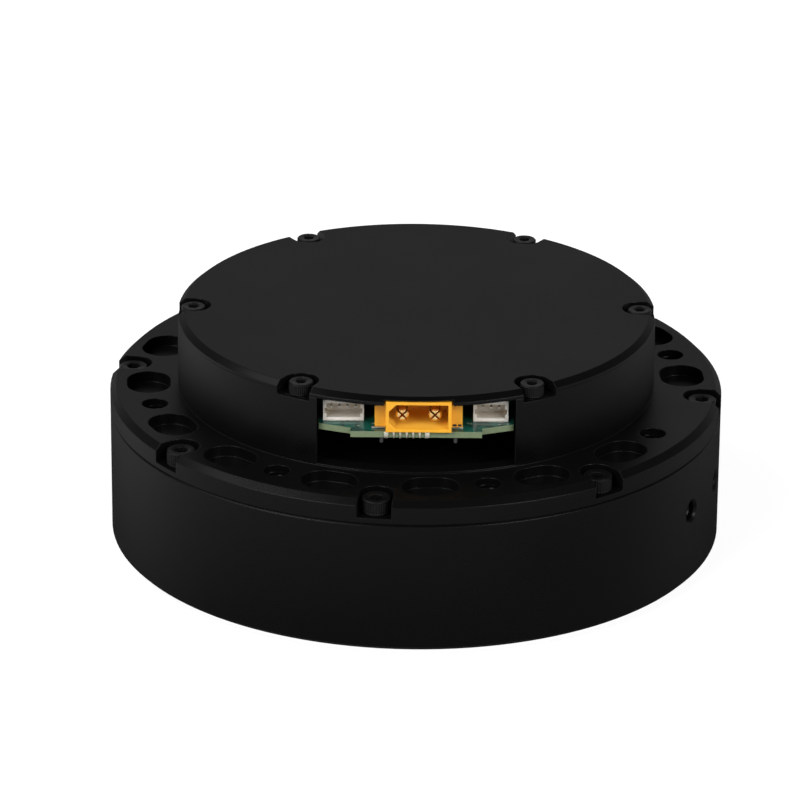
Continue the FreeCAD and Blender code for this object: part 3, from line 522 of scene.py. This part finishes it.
def capScrewMesh(name, size):
    # head, socket and threaded shank, seat at z = 0
    bm = bmesh.new()
    count = screwLook["ridges"] * 4
    rings = [ringPoints(bm, count, height, radiusAt) for height, radiusAt in headProfile(size)]
    bridge(bm, rings)
    bm.faces.new(rings[-1])
    pitch = size["pitch"]
    grip = size["grip"]
    root = size["shank"] - screwLook["threadRoot"] * pitch
    steps = screwLook["threadSteps"]
    previous = None
    for step in range(int(grip / pitch * steps) + 1):
        angle = 2 * math.pi * step / steps
        height = -pitch * step / steps
        fade = min(1.0, -height / pitch, (grip + height) / pitch + screwLook["threadEnd"])
        crest = root + screwLook["threadHeight"] * pitch * fade
        row = []
        for radius, drop in ((root, 0.0), (crest, pitch / 2), (root, pitch)):
            row.append(bm.verts.new((radius * math.cos(angle), radius * math.sin(angle),
                                     height - drop)))
        if previous:
            strip(bm, previous, row)
        previous = row
    tip = ringPoints(bm, screwLook["tipCorners"], -grip, lambda i, angle: root)
    bm.faces.new(list(reversed(tip)))
    bmesh.ops.recalc_face_normals(bm, faces=bm.faces)
    mesh = meshOf(bm, name)
    mesh.set_sharp_from_angle(angle=math.radians(screwLook["sharpAngle"]))
    return mesh


def addCapScrews():
    for nodeName, size in capScrews.items():
        mesh = capScrewMesh(nodeName, size)
        for i, (low, high) in enumerate(solidsOf(nodes[nodeName])):
            screw = addPiece(f"{nodeName}_{i + 1}", mesh.copy(), "housing", "black_steel")
            seat = Vector(((low.x + high.x) / 2, (low.y + high.y) / 2, high.z - size["height"]))
            turn = Matrix.Rotation(math.radians(screwLook["turnEach"] * i), 4, "Z")
            screw.data.transform(Matrix.Translation(seat) @ turn)
            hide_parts(nodeName)


addCapScrews()
print("cap screws done")

threads = {
    # name: body, count, first azimuth, circle, mouth height, direction, radius, length, pitch
    "output_threads": ("output", 8, 22.5, 16.0, 0.0, 1, 1.65, 6.2, 0.70),
    "front_threads": ("housing", 8, 15.0, 46.4, 1.2, 1, 1.65, 6.6, 0.70),
    "rear_threads": ("housing", 8, 15.0, 42.8, 25.2, -1, 2.10, 2.2, 0.60),
}
sideThreads = {"azimuths": (62.6, 77.4), "height": 13.3, "mouth": 48.5,
               "radius": 1.65, "length": 3.3, "pitch": 0.70}
ridge = {"steps": 20, "height": 0.34, "end": 0.15, "sunk": 0.01,
         "shares": (0.05, 0.45, 0.55, 0.95)}  # corners of its section, in shares of the pitch


def helix(bm, radius, length, pitch, matrix):
    # one ridge winding down a hole from its mouth, in millimetres
    steps = ridge["steps"]
    count = int((length / pitch - 1) * steps)
    outer = radius + ridge["sunk"]
    previous = None
    for step in range(count + 1):
        angle = 2 * math.pi * step / steps
        fade = min(1.0, step / steps + ridge["end"], (count - step) / steps + ridge["end"])
        crest = radius - ridge["height"] * pitch * fade
        row = []
        for r, share in zip((outer, crest, crest, outer), ridge["shares"]):
            point = Vector((r * math.cos(angle), r * math.sin(angle),
                            -pitch * (step / steps + share)))
            row.append(bm.verts.new(matrix @ (point * mm)))
        if previous:
            strip(bm, previous, row)
        previous = row


def addThreads():
    for name, row in threads.items():
        body, count, first, circle, mouth, direction, radius, length, pitch = row
        bm = bmesh.new()
        flip = Matrix.Rotation(math.pi, 4, "X") if direction > 0 else Matrix.Identity(4)
        for i in range(count):
            azimuth = math.radians(first + 360 / count * i)
            place = Vector((circle * math.sin(azimuth), -circle * math.cos(azimuth), mouth)) * mm
            helix(bm, radius, length, pitch, Matrix.Translation(place) @ flip)
        addSmooth(name, bm, body, "black_anodised")
    bm = bmesh.new()
    for azimuth in sideThreads["azimuths"]:
        turn = math.radians(azimuth)
        outwards = Vector((math.sin(turn), -math.cos(turn), 0))
        place = outwards * sideThreads["mouth"] * mm + Vector((0, 0, sideThreads["height"] * mm))
        aim = outwards.to_track_quat("Z", "Y").to_matrix().to_4x4()
        helix(bm, sideThreads["radius"], sideThreads["length"], sideThreads["pitch"],
              Matrix.Translation(place) @ aim)
    addSmooth("side_threads", bm, "housing", "black_anodised")


solder = {
    "padRadius": 0.13 * mm, "footRadius": 0.05 * mm,
    "filletRadius": 0.72 * mm, "filletHeight": 0.42 * mm, "boardUnder": 31.7 * mm,
    "filletCorners": 20,
    "filletProfile": ((1.0, 0.0), (0.62, 0.35), (0.0, 1.0)),  # shares of radius and height
}
feet = {
    # name: slot, corner, corner, in millimetres
    "left_foot": ("tin", (-6.85, -35.75, 32.70), (-4.76, -35.28, 32.94)),
    "right_foot": ("tin", (5.48, -35.62, 32.70), (7.20, -35.28, 32.86)),
    "right_slot_a": ("chip_plastic", (5.62, -35.36, 32.95), (6.20, -35.20, 33.30)),
    "right_slot_b": ("chip_plastic", (6.42, -35.36, 32.95), (6.98, -35.20, 33.30)),
    "data_strip_left": ("tin", (-13.90, -33.15, 32.70), (-8.55, -32.84, 32.86)),
    "data_strip_right": ("tin", (9.35, -33.15, 32.70), (13.65, -32.84, 32.86)),
}


def softBox(bm, low, high, radius):
    made = bmesh.ops.create_cube(bm, size=1.0)["verts"]
    for vert in made:
        for k in range(3):
            vert.co[k] = low[k] + (vert.co[k] + 0.5) * (high[k] - low[k])
    edges = list({edge for vert in made for edge in vert.link_edges})
    bmesh.ops.bevel(bm, geom=edges, offset=radius, segments=3, profile=0.5, affect="EDGES")


def addPads():
    bm = bmesh.new()
    for low, high in solidsOf(nodes["edge_pads"]):
        softBox(bm, low, high, solder["padRadius"])
    pads = addSmooth("solder_pads", bm, "housing", "tin", "warm_tin")
    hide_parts("edge_pads")


def addFillets():
    # a cone of solder round each peg, beneath the board, in the tin painted dark as shade
    bm = bmesh.new()
    for low, high in solidsOf(nodes["power_pegs"]):
        middle = (low + high) / 2
        tip = (high.x - low.x) / 2
        rings = []
        for share, drop in solder["filletProfile"]:
            radius = tip + (solder["filletRadius"] - tip) * share
            height = solder["boardUnder"] - solder["filletHeight"] * drop
            ring = ringPoints(bm, solder["filletCorners"], height, lambda i, angle: radius)
            for vert in ring:
                vert.co.x += middle.x
                vert.co.y += middle.y
            rings.append(ring)
        bridge(bm, rings)
    addSmooth("peg_solder", bm, "housing", "tin", "shaded_tin")


def addFeet():
    for name, (slotName, low, high) in feet.items():
        bm = bmesh.new()
        softBox(bm, Vector(low) * mm, Vector(high) * mm, solder["footRadius"])
        addSmooth(name, bm, "housing", slotName)


addThreads()
addPads()
addFillets()
addFeet()
print("threads and solder done")

camera = {"distance": 832.4389 * mm, "elevation": 22.8199, "roll": 0.47, "across": 2.3621 * mm,
          "down": -19.5717 * mm, "lift": 1.2 * mm, "lens": 230.67, "sensor": 36, "clip": 0.01}


def addCamera():
    elevation = math.radians(camera["elevation"])
    back = Vector((0, -math.cos(elevation), math.sin(elevation)))
    right = Vector((1, 0, 0))
    above = back.cross(right)
    roll = math.radians(camera["roll"])
    across = right * math.cos(roll) + above * math.sin(roll)
    rise = above * math.cos(roll) - right * math.sin(roll)
    place = back * camera["distance"] - across * camera["across"] - rise * camera["down"]
    place.z += camera["lift"]
    data = bpy.data.cameras.new("viewpoint")
    data.lens = camera["lens"]
    data.sensor_width = camera["sensor"]
    data.clip_start = camera["clip"]
    viewpoint = bpy.data.objects.new("viewpoint", data)
    scene.collection.objects.link(viewpoint)
    viewpoint.matrix_world = Matrix((
        (across.x, rise.x, back.x, place.x), (across.y, rise.y, back.y, place.y),
        (across.z, rise.z, back.z, place.z), (0, 0, 0, 1)))
    scene.camera = viewpoint


lamps = {
    # name: azimuth from the connector side, elevation, distance, size, watts
    "leftBox": (-46, 36, 1.3, 0.8, 13),
    "rightBox": (42, 30, 1.4, 0.7, 12),
    "leftHigh": (-98, 50, 1.2, 0.40, 1.6),
    "backBox": (180, 24, 1.5, 1.0, 1.2),
}
skyLook = {
    "horizon": (1.0, 1.0, 1.0), "band": (0.14, 0.14, 0.142), "zenith": (0.05, 0.05, 0.052),
    "bandFrom": (0.0, 0.05), "zenithFrom": (0.45, 0.85),
}
floorLook = {
    "paper": (0.34, 0.34, 0.34, 1), "glow": 0.85, "radius": 6.0, "corners": 96,
    "gap": 0.05 * mm, "opening": 0.047,
    "shadowCentre": (0.024, 0.012, 0.0), "shadowFrom": 0.080, "shadowTo": 0.180,
}


def addLamps():
    for name, (azimuth, elevation, distance, size, watts) in lamps.items():
        around = math.radians(azimuth)
        tilt = math.radians(elevation)
        aim = Vector((math.sin(around) * math.cos(tilt), -math.cos(around) * math.cos(tilt),
                      math.sin(tilt)))
        data = bpy.data.lights.new(name, "AREA")
        data.size = size
        data.energy = watts
        lamp = bpy.data.objects.new(name, data)
        lamp.location = aim * distance
        lamp.rotation_euler = aim.to_track_quat("Z", "Y").to_euler()
        scene.collection.objects.link(lamp)


def addSky():
    world = bpy.data.worlds.new("studio")
    world.use_nodes = True
    scene.world = world
    f = Finish("studio", world.node_tree)
    height = f.split(f.add("ShaderNodeTexCoord", output="Generated"))[2]
    low = f.mix(f.fit(height, *skyLook["bandFrom"]), skyLook["horizon"], skyLook["band"])
    colour = f.mix(f.fit(height, *skyLook["zenithFrom"]), low, skyLook["zenith"])
    sky = f.add("ShaderNodeBackground", inputs={"Color": colour, "Strength": 1.0})
    f.add("ShaderNodeOutputWorld", inputs={"Surface": sky})


def paperFloor():
    # white to the camera, and for reflections darker near the part, as its shadow is
    f = Finish("paperFloor")
    rays = f.add("ShaderNodeLightPath").socket.node
    straight = Wire(f, rays.outputs["Is Camera Ray"])
    bounced = Wire(f, rays.outputs["Is Glossy Ray"]) + Wire(f, rays.outputs["Is Transmission Ray"])
    reach = f.add("ShaderNodeVectorMath", {"operation": "DISTANCE"},
                  {0: f.place(), 1: floorLook["shadowCentre"]}, output="Value")
    shadow = f.fit(reach, floorLook["shadowFrom"], floorLook["shadowTo"])
    glow = f.add("ShaderNodeEmission", inputs={
        "Color": (1, 1, 1, 1), "Strength": (straight + bounced * shadow) * floorLook["glow"]})
    paper = f.add("ShaderNodeBsdfDiffuse", inputs={"Color": floorLook["paper"]})
    top = f.add("ShaderNodeAddShader", inputs={0: paper, 1: glow})
    # open beneath the part and clear from below, so the underside has light and can be seen
    centre = f.add("ShaderNodeVectorMath", {"operation": "LENGTH"}, {0: f.place()}, output="Value")
    below = f.add("ShaderNodeNewGeometry", output="Backfacing")
    opening = centre < floorLook["opening"]
    under = f.add("ShaderNodeMath", {"operation": "MAXIMUM"}, {0: below, 1: opening})
    clear = f.add("ShaderNodeBsdfTransparent")
    whole = f.add("ShaderNodeMixShader", inputs={0: under, 1: top, 2: clear})
    f.add("ShaderNodeOutputMaterial", inputs={"Surface": whole})
    return f.material


def addFloor():
    bm = bmesh.new()
    bmesh.ops.create_circle(bm, cap_ends=True, segments=floorLook["corners"],
                            radius=floorLook["radius"])
    mesh = meshOf(bm, "floor")
    floor = bpy.data.objects.new("floor", mesh)
    floor.location.z = cadBox[0][2] - floorLook["gap"]
    scene.collection.objects.link(floor)
    mesh.materials.append(paperFloor())


addCamera()
addLamps()
addSky()
addFloor()
scene.view_settings.view_transform = "Standard"
print("camera, lamps and floor done")
